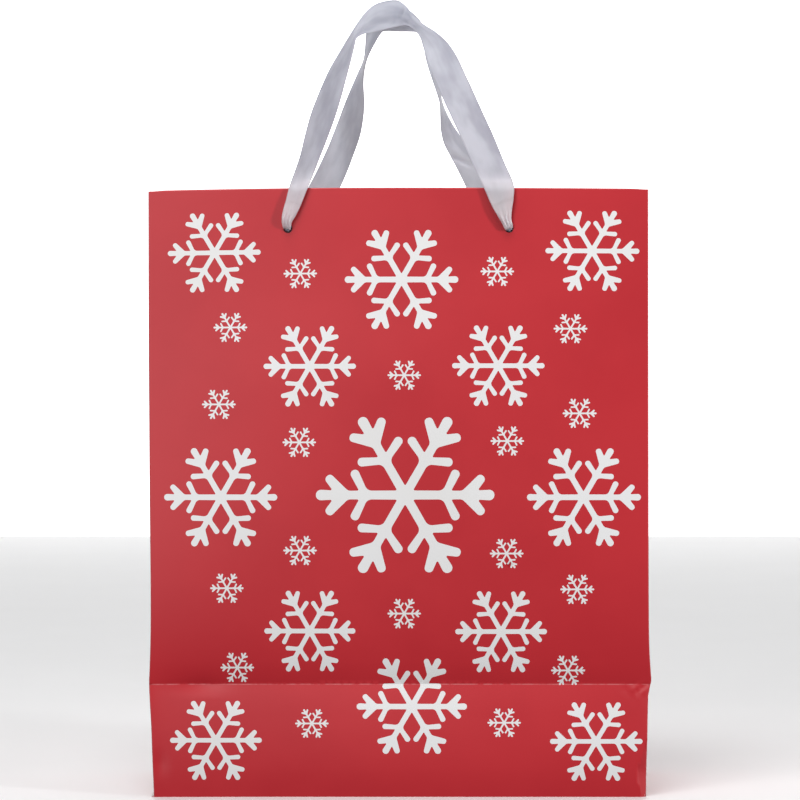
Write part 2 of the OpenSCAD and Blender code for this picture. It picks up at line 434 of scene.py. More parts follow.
def back_out(u, v):
    """How far the back stands out of its flat plane."""
    across = np.clip(1 - (u / HALF_W) ** 2, 0, 1)
    belly = 1.8 * MM * across * step(v, 0.02, 0.12) * (1 - step(v, 0.2, 0.30))
    waves = 0.3 * MM * np.sin(u * 24 - 0.4) * np.sin(v * 20 + 0.5) * (1 - step(v, 0.24, 0.29))
    return belly + waves


def round_fold(u):
    """Sideways place and inward turn of points that may lie on a rounded corner fold."""
    over = np.clip(np.abs(u) - (HALF_W - FOLD_R), 0, None) / FOLD_R
    x = np.sign(u) * (np.minimum(np.abs(u), HALF_W - FOLD_R) + FOLD_R * np.sin(over))
    return x, FOLD_R * (1 - np.cos(over))


def front_place(u, v):
    """Place of the front's printed side, from its flat place."""
    x, turn = round_fold(u)
    edge = np.abs(x / HALF_W) ** 5
    x = x + np.where(x > 0, corner_out(1, v), -corner_out(-1, v)) * edge
    return np.stack([x, -(HALF_D + front_out(np.clip(u, -HALF_W, HALF_W), v)) + turn, lift(u, v)], -1)


def back_place(u, v):
    """Place of the back's printed side. u runs to the right as the back is seen."""
    x, turn = round_fold(-u)
    edge = np.abs(x / HALF_W) ** 5
    x = x + np.where(x > 0, corner_out(1, v), -corner_out(-1, v)) * 0.5 * edge
    y = HALF_D + back_out(np.clip(-u, -HALF_W, HALF_W), v) - turn
    return np.stack([x, y, lift(0.8 * u, v)], -1)


FLAT_HALF_W = HALF_W - FOLD_R + FOLD_R * math.pi / 2
SIDE_HALF = HALF_D - FOLD_R
print("half width of the flat front in mm:", round(FLAT_HALF_W / MM, 2))

# %% [markdown]
# ## The gusseted sides
# Each side has a fold down its middle that ends in a point at the height of the crease. From there
# two slanting folds run to the bottom corners, and one level fold runs to the front crease. These
# are the folds that let the bag close flat. The side's edges are the corner folds of the front and
# back, so its places start from those.

# %% Sides
def side_in(w, v):
    """How far a side draws in: along its middle fold above, and beside its slanting folds below."""
    deep = 6.2 * MM * np.clip((v - CREASE) / (TOP - CREASE), 0, 1) ** 0.85
    fold = np.clip(1 - np.abs(w) / SIDE_HALF, 0, 1)
    puff = 1.0 * MM * np.sin(math.pi * fold) * step(v, 0.06, 0.12) * (1 - step(v, 0.24, 0.3))
    upper = deep * fold**1.08 - puff
    slant = np.abs(np.abs(w) - (CREASE - v)) / math.sqrt(2)
    ridge = 0.9 * MM * np.exp(-slant / (5 * MM)) * np.clip((CREASE - v) / (20 * MM), 0, 1)
    level = np.where(w < 0, 0.8, 0.15) * MM * np.exp(-np.abs(v - CREASE) / (5 * MM)) * np.sqrt(fold)
    return upper + level - ridge * np.sqrt(fold)


def side_place(side):
    """The function that places one side's printed face. w runs from the front to the back."""

    def place(u, v):
        w = u * side
        back = (w + SIDE_HALF) / (2 * SIDE_HALF)
        edge = np.full_like(v, side * HALF_W)
        y = w - front_out(edge, v) * (1 - back) + back_out(edge, v) * back
        out = corner_out(side, v) * (1 - 0.5 * back) - side_in(w, v)
        drop = top_drop(edge) * (1 - back) + top_drop(0.8 * edge) * back
        z = v - drop * step(v, 0.2, TOP) - settle(v)
        return np.stack([side * (HALF_W + out), y, z], -1)

    return place


print("side functions ready")

# %% [markdown]
# ## The printed snowflake
# The print is a six-armed snowflake with two pairs of round-ended branches on each arm. One half of
# one arm holds the whole design: a few corners, each with its own rounding. The half is mirrored
# for the arm and the arm is turned six times. The outline is cut into the paper's mesh, so the
# edge of the print is as crisp as a printed edge at any distance.

# %% Snowflake outline
ARM_CORNERS = [
    (0.088, 0.051, 0.012), (0.425, 0.049, 0.080), (0.537, 0.302, 0.048), (0.628, 0.254, 0.048),
    (0.516, 0.049, 0.012), (0.640, 0.048, 0.070), (0.842, 0.246, 0.045), (0.906, 0.181, 0.045),
    (0.812, 0.052, 0.012), (1.000, 0.062, 0.058),
]


def rounded(corners, steps):
    """A closed outline whose corners (x, y, radius) are rounded by arcs."""
    points = []
    for i, (x, y, radius) in enumerate(corners):
        here = np.array([x, y])
        before = np.array(corners[i - 1][:2]) - here
        after = np.array(corners[(i + 1) % len(corners)][:2]) - here
        a, b = before / np.linalg.norm(before), after / np.linalg.norm(after)
        half = math.acos(np.clip(a @ b, -1, 1)) / 2
        reach = min(radius / math.tan(half), 0.49 * np.linalg.norm(before), 0.49 * np.linalg.norm(after))
        middle = here + (a + b) / np.linalg.norm(a + b) * reach / math.cos(half)
        start, end = here + a * reach - middle, here + b * reach - middle
        turn = math.atan2(start[0] * end[1] - start[1] * end[0], start @ end)
        for k in range(steps + 1):
            angle = turn * k / steps
            c, s = math.cos(angle), math.sin(angle)
            points.append(middle + np.array([c * start[0] - s * start[1], s * start[0] + c * start[1]]))
    return np.array(points)


def snowflake(steps):
    """The outline of a snowflake of radius 1."""
    arm = [(x, -y, r) for x, y, r in ARM_CORNERS[1:]] + ARM_CORNERS[::-1]
    corners = []
    for k in range(6):
        c, s = math.cos(k * math.pi / 3), math.sin(k * math.pi / 3)
        corners += [(c * x - s * y, s * x + c * y, r) for x, y, r in arm]
    return rounded(corners, steps)


FINE_FLAKE = snowflake(5)
SMALL_FLAKE = snowflake(2)
print("points of a large and a small snowflake:", len(FINE_FLAKE), len(SMALL_FLAKE))

# %% [markdown]
# ## Where the snowflakes go
# The artwork is listed: one large flake in the middle, others of three sizes around it in
# loose mirrored pairs. The back carries the same artwork, and the sides a looser one of their own.

# %% Artwork
FRONT_ART = [(3.5, 158.7, 46.8), (1.6, 271.7, 29.8), (-93, 157.5, 29.5), (96.7, 157.5, 29.4)]
FRONT_ART += [(7, 48.2, 29), (-96.2, 286.5, 24), (101.2, 287, 24.2), (-46.5, 226.2, 24.2)]
FRONT_ART += [(52.3, 226.5, 24.2), (53.8, 87.3, 24), (-46.5, 87.6, 23.9), (-96, 30.1, 24.2)]
FRONT_ART += [(103.5, 29.5, 24)]
FRONT_ART += [
    (x, z, 8.8)
    for x, z in [(-51.5, 275), (51.8, 276), (-88, 246.8), (90, 246), (3, 221.5), (-94, 206.2),
                 (94.7, 201.5), (-52, 186.3), (57, 187), (-51.6, 129.6), (56.7, 128), (-90, 109.8),
                 (93.5, 109.2), (3, 96.6), (-84.6, 68.8), (88.7, 67.3), (-45.5, 39.1), (55.5, 39.5)]
]
SIDE_ART = [(2, 160, 34), (-30, 262, 21), (33, 236, 17), (34, 84, 20), (-31, 96, 17), (1, 30, 21)]
SIDE_ART += [
    (x, z, 8.5)
    for x, z in [(6, 214), (38, 282), (-40, 214), (-42, 132), (40, 128), (-44, 28), (44, 30), (2, 296)]
]
print("snowflakes on the front and a side:", len(FRONT_ART), len(SIDE_ART))

# %% [markdown]
# ## Cutting a flat sheet into triangles
# The flat sheet is filled with a grid of points, the fold lines and the outlines of snowflakes and
# holes are added, and a constrained triangulation joins them all, so no triangle crosses a fold or
# a printed edge. Each triangle then knows whether it is ink, paper or hole.

# %% Flat sheets
def walk(ends, gap):
    """Points along a line of corners, at most gap apart."""
    points = [np.array(ends[0], float)]
    for a, b in zip(ends, ends[1:]):
        a, b = np.array(a, float), np.array(b, float)
        count = max(1, math.ceil(np.linalg.norm(b - a) / gap))
        points += [a + (b - a) * k / count for k in range(1, count + 1)]
    return np.array(points)


def inside(points, loop):
    """Which points lie inside a closed outline."""
    x, y = points[:, :1], points[:, 1:]
    ax, ay = loop[:, 0], loop[:, 1]
    bx, by = np.roll(ax, -1), np.roll(ay, -1)
    crosses = (ay > y) != (by > y)
    with np.errstate(divide="ignore", invalid="ignore"):
        left = x < (bx - ax) * (y - ay) / (by - ay) + ax
    return (crosses & left).sum(1) % 2 == 1


def flat_sheet(outline, columns, rows, folds=(), art=(), holes=(), clear=0.55):
    """Triangulates a flat sheet given in metres. Returns its points, triangles and ink flags.

    Grid points closer than clear, in mm, to a line are left out."""
    outline = np.array(outline, float) / MM
    points, edges, taken = [], [], []

    def add_line(line, closed):
        first = len(points)
        points.extend(line.tolist())
        edges.extend((first + k, first + k + 1) for k in range(len(line) - 1))
        if closed:
            edges.append((first + len(line) - 1, first))

    border = walk(np.vstack([outline, outline[:1]]), 5.5)[:-1]
    add_line(border, True)
    taken.append(border)
    for fold in folds:
        line = walk(np.array(fold, float) / MM, 4.0)
        add_line(line, False)
        taken.append(line)
    loops = []
    for x, y, radius in art:
        loop = (FINE_FLAKE if radius > 12 else SMALL_FLAKE) * radius + np.array([x, y])
        loops.append((loop, np.array([x, y]), radius))
        add_line(loop, True)
        taken.append(loop)
    rounds = []
    for x, y, radius in holes:
        angles = np.linspace(0, 2 * math.pi, 40, endpoint=False)
        loop = np.stack([np.cos(angles), np.sin(angles)], 1) * radius / MM + np.array([x, y]) / MM
        rounds.append((np.array([x, y]) / MM, radius / MM))
        add_line(loop, True)
        taken.append(loop)
    taken = np.vstack(taken)
    grid = np.array([(x, y) for x in np.array(columns) / MM for y in np.array(rows) / MM])
    keep = inside(grid, outline)
    for i in np.flatnonzero(keep):
        keep[i] = (((taken - grid[i]) ** 2).sum(1) > clear**2).all()
    points.extend(grid[keep].tolist())
    flat, _, faces, *_ = geometry.delaunay_2d_cdt([Vector(p) for p in points], edges, [], 0, 1e-6)
    flat = np.array([tuple(p) for p in flat])
    faces = np.array([f for f in faces if len(f) == 3])
    a, b, c = (flat[faces[:, k]] for k in range(3))
    area = (b[:, 0] - a[:, 0]) * (c[:, 1] - a[:, 1]) - (b[:, 1] - a[:, 1]) * (c[:, 0] - a[:, 0])
    faces[area < 0] = faces[area < 0][:, ::-1]
    middle = (a + b + c) / 3
    sound = (np.abs(area) > 1e-9) & inside(middle, outline)
    for centre, radius in rounds:
        sound &= ((middle - centre) ** 2).sum(1) > radius**2
    ink = np.zeros(len(faces), bool)
    for loop, centre, radius in loops:
        close = np.flatnonzero(((middle - centre) ** 2).sum(1) < (1.1 * radius) ** 2)
        ink[close] |= inside(middle[close], loop)
    return flat * MM, faces[sound], ink[sound]


def gridded(columns, rows):
    """A rectangle's outline with a point wherever a grid line meets it."""
    low, high = (columns[0], rows[0]), (columns[-1], rows[-1])
    return (
        [(c, low[1]) for c in columns[:-1]] + [(high[0], r) for r in rows[:-1]]
        + [(c, high[1]) for c in columns[:0:-1]] + [(low[0], r) for r in rows[:0:-1]]
    )


def fold_distance(flat, folds):
    """Distance from each flat point to the nearest fold line, at most 5 mm."""
    best = np.full(len(flat), 5 * MM)
    for fold in folds:
        for a, b in zip(fold, fold[1:]):
            a, b = np.array(a, float), np.array(b, float)
            t = np.clip((flat - a) @ (b - a) / ((b - a) @ (b - a)), 0, 1)
            best = np.minimum(best, np.linalg.norm(flat - a - t[:, None] * (b - a), axis=1))
    return best


print("sheet cutter ready")

# %% [markdown]
# ## Giving a sheet its thickness
# A placed sheet becomes a closed shell: the printed side, the inner side one paper thickness
# behind it, and a thin rim. The printed side's normals are worked out from the placing function
# and not from the triangles, so the gloss runs smoothly over the cut-in print.

# %% Paper shells
def outward(place, flat, low, high):
    """Unit normals of a placed sheet, worked out inside the flat box from low to high."""
    gap = 0.05 * MM
    normals = []
    for axis in (0, 1):
        a, b = flat.copy(), flat.copy()
        a[:, axis] = np.maximum(flat[:, axis] - gap, low[axis])
        b[:, axis] = np.minimum(flat[:, axis] + gap, high[axis])
        normals.append(place(b[:, 0], b[:, 1]) - place(a[:, 0], a[:, 1]))
    normal = np.cross(*normals)
    return normal / np.linalg.norm(normal, axis=1)[:, None]


def make_mesh(name, points, faces, slots, uv, materials, corner_normals=None, fold=None):
    """A mesh piece with its flat places as its UV map."""
    mesh = bpy.data.meshes.new(name)
    mesh.from_pydata(points.tolist(), [], [list(map(int, f)) for f in faces])
    for material in materials:
        mesh.materials.append(material)
    mesh.polygons.foreach_set("material_index", np.array(slots, np.int32))
    mesh.polygons.foreach_set("use_smooth", np.ones(len(faces), bool))
    corners = np.concatenate([np.array(f) for f in faces])
    layer = mesh.uv_layers.new(name="Flat")
    layer.data.foreach_set("uv", uv[corners].astype(np.float32).ravel())
    if fold is not None:
        mesh.attributes.new("fold", "FLOAT", "POINT").data.foreach_set("value", fold.astype(np.float32))
    mesh.update()
    if corner_normals is not None:
        mesh.normals_split_custom_set(corner_normals.tolist())
    piece = bpy.data.objects.new(name, mesh)
    bpy.context.scene.collection.objects.link(piece)
    return piece


def shell(name, place, flat, faces, ink, node, body="bag", materials=None, thickness=PAPER,
          folds=(), cut=None, slot="red_paper"):
    """A closed paper shell that rides on a body and stands for a frame node."""
    used, faces = np.unique(faces, return_inverse=True)
    faces = faces.reshape(-1, 3)
    flat = flat[used]
    count = len(flat)
    normal = outward(place, flat, flat.min(0), flat.max(0))
    outer = place(flat[:, 0], flat[:, 1])
    points = np.vstack([outer, outer - normal * thickness])
    sides = np.concatenate([faces[:, [0, 1]], faces[:, [1, 2]], faces[:, [2, 0]]])
    known = set(map(tuple, sides.tolist()))
    rim = [(a, b) for a, b in sides.tolist() if (b, a) not in known]
    rim_faces = [[b, a, a + count, b + count] for a, b in rim]
    all_faces = faces.tolist() + (faces[:, ::-1] + count).tolist() + rim_faces
    rim_slots = [3 if cut is None or cut(*((flat[a] + flat[b]) / 2)) else 0 for a, b in rim]
    slots = list(np.where(ink, 1, 0)) + [2] * len(faces) + rim_slots
    corner_normals = [normal[faces].reshape(-1, 3), -normal[faces[:, ::-1]].reshape(-1, 3)]
    for b, a, c, d in rim_faces:
        across = np.cross(points[a] - points[b], points[c] - points[a])
        corner_normals.append(np.tile(across / max(np.linalg.norm(across), 1e-12), (4, 1)))
    piece = make_mesh(
        name, points, all_faces, slots, np.vstack([flat, flat]),
        materials or [red_paper, white_print, inner_paper, cut_edge],
        np.vstack(corner_normals), np.tile(fold_distance(flat, folds), 2),
    )
    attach(piece, body)
    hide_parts(*node)
    print(f"{name}: {len(all_faces)} faces")
    return piece


def part_of(sheet, test):
    """The triangles of a sheet whose middles pass a test."""
    flat, faces, ink = sheet
    middle = flat[faces].mean(1)
    chosen = test(middle[:, 0], middle[:, 1])
    return flat, faces[chosen], ink[chosen]


def spaced(low, high, gap, extra=()):
    """Grid lines from low to high, with extra lines where the paper bends sharply."""
    count = max(1, round((high - low) / gap))
    lines = np.concatenate([np.linspace(low, high, count + 1), np.array(extra, float)])
    return np.unique(np.round(lines[(lines >= low) & (lines <= high)], 6))


print("shell maker ready")

# %% [markdown]
# ## Front and back
# The front is one sheet with the crease across it. It is cut once, so the print runs on across the
# crease, and then split there into the panel and the foot. The back has no crease: when the bag is
# folded flat, its bottom swings up against the front.

# %% Front
ROLL_R = 0.7 * MM
PANEL_TOP = TOP - ROLL_R
corner_lines = [s * (HALF_W - FOLD_R * (1 - k * math.pi / 10)) for s in (-1, 1) for k in range(6)]
near_corners = [s * k * MM for s in (-1, 1) for k in (122, 124, 126, 127, 128, 129)]
columns = spaced(-FLAT_HALF_W, FLAT_HALF_W, 4 * MM, corner_lines + near_corners)
near_crease = [CREASE + s * k * MM for s in (-1, 1) for k in (0.6, 1.4, 2.6, 5)]
crease_line = [(-FLAT_HALF_W, CREASE), (FLAT_HALF_W, CREASE)]
corner_folds = [[(s * HALF_W, 0), (s * HALF_W, PANEL_TOP)] for s in (-1, 1)]
PUNCH_Z = HOLE_Z + 0.8 * MM
punched = [(s * HOLE_X, PUNCH_Z, HOLE_R) for s in (-1, 1)]


def at_hole(u, v):
    """True on the punched holes' cut edges."""
    return math.hypot(abs(u) - HOLE_X, v - HOLE_Z) < 1.2 * HOLE_R


rows = spaced(0, PANEL_TOP, 4 * MM, near_crease)
front_sheet = flat_sheet(gridded(columns, rows), columns, rows, [crease_line], FRONT_ART, punched)
front_folds = [crease_line] + corner_folds
shell(
    "front_panel_paper", front_place, *part_of(front_sheet, lambda u, v: v > CREASE),
    ["front_panel"], folds=front_folds, cut=at_hole
)
shell(
    "front_foot_paper", front_place, *part_of(front_sheet, lambda u, v: v < CREASE),
    ["front_foot_panel"], folds=front_folds, cut=at_hole
)

# %% Back
rows = spaced(0, PANEL_TOP, 5 * MM)
back_sheet = flat_sheet(gridded(columns, rows), columns, rows, [], FRONT_ART, punched)
shell(
    "back_panel_paper", back_place, *back_sheet, ["back_panel"], folds=corner_folds, cut=at_hole
)

# %% [markdown]
# ## Sides
# One flat sheet makes a whole side, with its folds as lines in the mesh. It is then split along the
# folds into the two gusset halves and the foot below them.

# %% Sides
side_outline = [(-SIDE_HALF, 0), (SIDE_HALF, 0), (SIDE_HALF, PANEL_TOP), (-SIDE_HALF, PANEL_TOP)]
apex = (0.0, CREASE)
for side, word in ((1, "right"), (-1, "left")):
    slants = [[(s * SIDE_HALF, CREASE - SIDE_HALF), apex] for s in (-1, 1)]
    level = [(-side * SIDE_HALF, CREASE), apex]
    hidden_level = [(side * SIDE_HALF, CREASE), apex]
    middle = [apex, (0.0, PANEL_TOP)]
    side_sheet = flat_sheet(
        side_outline, spaced(-SIDE_HALF, SIDE_HALF, 4 * MM), spaced(0, PANEL_TOP, 4 * MM),
        [*slants, level, hidden_level, middle], SIDE_ART
    )
    side_folds = [*slants, level, middle]
    for part, test in (
        (f"{word}_gusset_front", lambda u, v: (v > CREASE) & (u * side < 0)),
        (f"{word}_gusset_rear", lambda u, v: (v > CREASE) & (u * side > 0)),
        (f"{word}_foot_panel", lambda u, v: v < CREASE),
    ):
        shell(
            f"{part}_paper", side_place(side), *part_of(side_sheet, test), [part],
            folds=side_folds, cut=lambda u, v: False
        )

# %% [markdown]
# ## The turned-over mouth
# The top of the paper is folded inwards over a strip of card and pasted, so the inside of the mouth
# shows the printed side. The hem starts at the panel's top edge, rolls over the card, and runs down
# inside to a raw cut edge. Its flat place is measured from the start of the roll.

# %% Hems
def hem_place(panel_place, radius_of):
    """Places a hem that rolls over the top of a panel and runs down inside it."""

    def place(u, q):
        radius = radius_of(u)
        top = np.full_like(u, PANEL_TOP)
        turn = np.clip(q / radius, 0, math.pi)
        down = np.clip(q - math.pi * radius, 0, None)
        base = panel_place(u, top - down)
        gap = 0.05 * MM
        normal = np.cross(
            panel_place(u + gap, top - down) - panel_place(u - gap, top - down),
            panel_place(u, top - down) - panel_place(u, top - down - gap),
        )
        normal /= np.linalg.norm(normal, axis=1)[:, None]
        raised = base - normal * (radius * (1 - np.cos(turn)))[:, None]
        raised[:, 2] += radius * np.sin(turn)
        return raised

    return place


def wide_roll(u):
    """Half the thickness of the mouth: card and paper, thinner at the corners, where no card is."""
    bare = step(np.abs(u), HALF_W - 9 * MM, HALF_W - 1.5 * MM)
    return ROLL_R * (1 - bare) + 0.33 * MM * bare


THIN_ROLL_R = 0.34 * MM


def thin_roll(u):
    """Half the thickness of the mouth at a side, where the paper is folded on itself."""
    return np.full_like(u, THIN_ROLL_R)


hem_length = PANEL_TOP - HEM_END
roll_rows = [k * ROLL_R * math.pi / 8 for k in range(1, 9)]
front_hem_end = math.pi * ROLL_R + hem_length
hem_holes = [(s * HOLE_X, math.pi * ROLL_R + PANEL_TOP - PUNCH_Z, HOLE_R) for s in (-1, 1)]


def hem_cut(end, holes):
    """True on a hem's raw lower edge and on its holes."""
    def test(u, q):
        return q > end - 0.01 * MM or any(math.hypot(u - x, q - y) < 1.2 * r for x, y, r in holes)
    return test


for name, panel_place in (("front_hem", front_place), ("back_hem", back_place)):
    rows = spaced(0, front_hem_end, 5 * MM, roll_rows)
    sheet = flat_sheet(gridded(columns, rows), columns, rows, holes=hem_holes, clear=0.08)
    shell(
        f"{name}_paper", hem_place(panel_place, wide_roll), *sheet, [name],
        folds=corner_folds, cut=hem_cut(front_hem_end, hem_holes), thickness=0.25 * MM
    )
side_hem_end = math.pi * THIN_ROLL_R + hem_length
for side, word in ((1, "right"), (-1, "left")):
    middle = [(0.0, 0.0), (0.0, side_hem_end)]
    columns = spaced(-SIDE_HALF, SIDE_HALF, 4 * MM)
    rows = spaced(0, side_hem_end, 5 * MM, [THIN_ROLL_R * math.pi * k / 6 for k in range(1, 7)])
    sheet = flat_sheet(gridded(columns, rows), columns, rows, [middle], clear=0.08)
    shell(
        f"{word}_hem_paper", hem_place(side_place(side), thin_roll), *sheet, [f"{word}_hem"],
        folds=[middle], cut=hem_cut(side_hem_end, []), thickness=0.25 * MM
    )

# %% [markdown]
# ## Card strips, glue flap and bottom
# The card strips fill the space between the panel and its hem. The glue flap is the narrow edge of
# the sheet that was pasted inside a back corner to close the tube. The bottom is folded like an
# envelope: the side flaps go in first, then the front and back flaps, with mitred ends, cross over
# each other and are pasted.

# %% Card strips and glue flap
def behind(place, depth):
    """The same sheet, moved inwards by depth."""
    def moved(u, v):
        flat = np.stack([u, v], -1)
        return place(u, v) - outward(place, flat, flat.min(0) - MM, flat.max(0) + MM) * depth
    return moved


def rectangle(left, low, right, high):
    """The outline of a rectangle."""
    return [(left, low), (right, low), (right, high), (left, high)]


strip_x = HALF_W - 6 * MM
strip_outline = rectangle(-strip_x, HEM_END + MM, strip_x, PANEL_TOP - 0.3 * MM)
for name, panel_place in (("front_reinforcement", front_place), ("back_reinforcement", back_place)):
    columns = spaced(-strip_x, strip_x, 6 * MM)
    sheet = flat_sheet(strip_outline, columns, spaced(HEM_END, TOP, 6 * MM), holes=punched)
    shell(
        f"{name}_card", behind(panel_place, 0.36 * MM), *sheet, [name], slot="card",
        materials=[grey_board] * 4, thickness=0.66 * MM
    )
flap_low, flap_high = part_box("side_glue_flap")
flap_outline = rectangle(-flap_high.x, flap_low.z, -flap_low.x, flap_high.z)
columns = spaced(-flap_high.x, -flap_low.x, 5 * MM)
sheet = flat_sheet(flap_outline, columns, spaced(flap_low.z, flap_high.z, 6 * MM))
shell(
    "side_glue_flap_paper", behind(back_place, 0.34 * MM), *sheet, ["side_glue_flap"], slot="inner_paper",
    materials=[inner_paper, inner_paper, inner_paper, cut_edge]
)


# %% Bottom flaps
def bottom_place(side, cross, over, level):
    """Places a bottom flap: side turns it to its edge, over lifts it across the flap below."""

    def place(u, s):
        wave = 0.05 * MM * (1 + np.cos(u * 40)) * step(s, 0.02, 0.05)
        z = level + over * step(s, 0.026, 0.036) + wave
        if cross:
            return np.stack([side * (HALF_W - 0.4 * MM - s), -side * u, z], -1)
        start = front_out(-u, 0 * u) if side < 0 else back_out(u, 0 * u)
        edge = HALF_D - 0.1 * MM + start * np.clip(1 - s / (40 * MM), 0, 1)
        return np.stack([side * u, side * (edge - s), z], -1)

    return place


front_flap_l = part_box("bottom_front_flap")[1].y + HALF_D
back_flap_l = HALF_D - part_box("bottom_back_flap")[0].y
side_flap_l = HALF_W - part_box("bottom_right_flap")[0].x


def flap_outline_of(half, length, mitred):
    """A bottom flap lying flat: full width at its fold, with slanting ends if mitred."""
    tip = half - length if mitred else half
    return [(-half, 0), (half, 0), (tip, length), (-tip, length)]


long_half, short_half = HALF_W - 0.4 * MM, HALF_D - 3 * MM
outer_level, inner_level = 0.02 * MM, 0.72 * MM
for name, half, length, mitred, place in (
    ("bottom_back_flap", long_half, back_flap_l, True, bottom_place(1, False, 0, outer_level)),
    ("bottom_front_flap", long_half, front_flap_l, True, bottom_place(-1, False, 0.35 * MM, outer_level)),
    ("bottom_right_flap", short_half, side_flap_l, False, bottom_place(1, True, 0, inner_level)),
    ("bottom_left_flap", short_half, side_flap_l, False, bottom_place(-1, True, 0, inner_level)),
):
    outline = flap_outline_of(half, length, mitred)
    sheet = flat_sheet(outline, spaced(-half, half, 5 * MM), spaced(0, length, 5 * MM))
    fold_at = [[(-half, 0), (half, 0)]]
    shell(f"{name}_paper", place, *sheet, [name], folds=fold_at, cut=lambda u, s: s > 0.01 * MM)

# %% [markdown]
# ## Base board
# A loose rectangle of grey board lies on the flaps and keeps the bottom flat. It is die-cut with
# slightly rounded corners and is never quite flat.

# %% Base board
board_low, board_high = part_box("base_board")


def board_place(u, v):
    warp = 0.35 * MM * (u / board_high.x) ** 2 + 0.15 * MM * np.sin(v * 50 + 1)
    return np.stack([u, v, board_high.z + warp], -1)


board_outline = rounded(
    [(board_low.x, board_low.y, 2 * MM), (board_high.x, board_low.y, 2 * MM),
     (board_high.x, board_high.y, 2 * MM), (board_low.x, board_high.y, 2 * MM)], 5
)
columns = spaced(board_low.x, board_high.x, 6 * MM)
sheet = flat_sheet(board_outline, columns, spaced(board_low.y, board_high.y, 6 * MM))
shell(
    "base_board_card", board_place, *sheet, ["base_board"], body="base_board", slot="card",
    materials=[grey_board] * 4, thickness=board_high.z - board_low.z
)

# %% [markdown]
# ## The ribbon handles
# Each handle is one length of satin ribbon, pushed through two punched holes from outside and
# knotted on the inside. At a hole it is gathered tight and opens like a petal. Above the mouth it
# leans in over the bag, one side turned edge-on by the pull of its knot, and at the top it buckles
# where the flat ribbon has to turn back down. A ribbon bends but does not stretch, so its route is
# given as pairs of points on its two edges, and the satin runs between them.

# %% Ribbon routes
LEAN = math.radians(29)
BEND_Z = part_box("front_handle_loop")[0].z
HINGE_Y = next(-j["pos_m"][1] for j in frame["joints"] if j["name"] == "front_handle_swing")
# Each row, in mm: outer edge x and z, inner edge x and z, how far each edge stands back towards the
# middle of the bag, and how far the ribbon's middle bows outwards between them.
FRONT_ROUTE = [
    (-59.8, 299.4, -57, 299, 3, 3, 0),
    (-60.3, 298.6, -56.8, 297.8, 1.4, 1.4, 0.1),
    (-60.8, 300, -56.4, 298.8, 0.1, 0, 0.3),
    (-61.1, 303.6, -55.9, 301.6, -0.9, -0.7, 0.6),
    (-60.4, 308, -53.6, 305.5, -0.7, -0.7, 0.7),
    (-59, 313, -51.2, 310.5, -0.3, -0.6, 0.5),
    (-57.4, 319.5, -48.8, 316.5, 0.8, -0.3, 0.6),
    (-55.2, 327, -45.8, 324, 4, 0, 0.9),
    (-52.2, 337.5, -42, 335, 8, 0, 1.2),
    (-49.6, 350, -38.2, 345.5, 10, 0, 1.2),
    (-46.6, 362, -34, 358, 10, 0, 1),
    (-42.2, 374.5, -30.6, 370, 10, 0, 1.2),
    (-37.2, 386.5, -27.6, 382.5, 9, 0.5, 1.2),
    (-31.2, 397.5, -25, 393.5, 7, 1, 0.8),
    (-27.2, 404.4, -23.5, 400.6, 4.5, 1.5, 0.5),
    (-24.2, 409.2, -22.4, 404.2, 2, 2, 0.4),
    (-21.6, 413.4, -18.8, 406.4, 0.6, 2.2, 0.7),
    (-17.6, 419, -13.4, 407.6, 0, 2.2, 0.8),
    (-12.4, 423.4, -8, 408.8, 0, 2, 0.6),
    (-6, 425.4, -2.4, 410.2, 0, 1.5, 0.4),
    (-0.4, 425.6, 1.6, 411, 0, 1, -0.6),
    (4, 422.2, 4.6, 411, 0.4, 1, 0.6),
    (8.4, 416.6, 7.6, 409.4, 1.2, 0.5, -0.4),
    (13.4, 411.8, 10, 406.8, 0.6, 0, 0.8),
    (20.2, 407, 12, 403.4, 0, 0, 1.2),
    (26.4, 401, 13.6, 397.6, 0.5, 0, 1.4),
    (31.4, 393, 15.8, 390, 1, 0, 1.2),
    (36, 382.5, 19.6, 379.5, 1.5, 0, 1),
    (40.4, 372, 24.4, 367.5, 1.5, 0, 0.8),
    (45.6, 359.5, 29.8, 355, 1.5, 0, 0.8),
    (50.6, 347.5, 35, 343, 1.2, 0, 0.8),
    (55.6, 334, 40.4, 329.5, 0.8, 0, 0.8),
    (60.2, 321.8, 45.6, 317.8, 0, 0, 0.6),
    (60.3, 314.5, 49, 310, -0.3, -0.6, 0.5),
    (59.4, 308.4, 52, 304.8, -0.2, -1, 0.5),
    (59.1, 303.6, 54.2, 301, 0, -0.8, 0.5),
    (59.8, 300.2, 55.6, 298.4, 0.1, -0.1, 0.3),
    (59.7, 298.8, 56.3, 297.6, 1.5, 1.4, 0.1),
    (59.4, 299.4, 56.8, 299, 3, 3, 0),
]
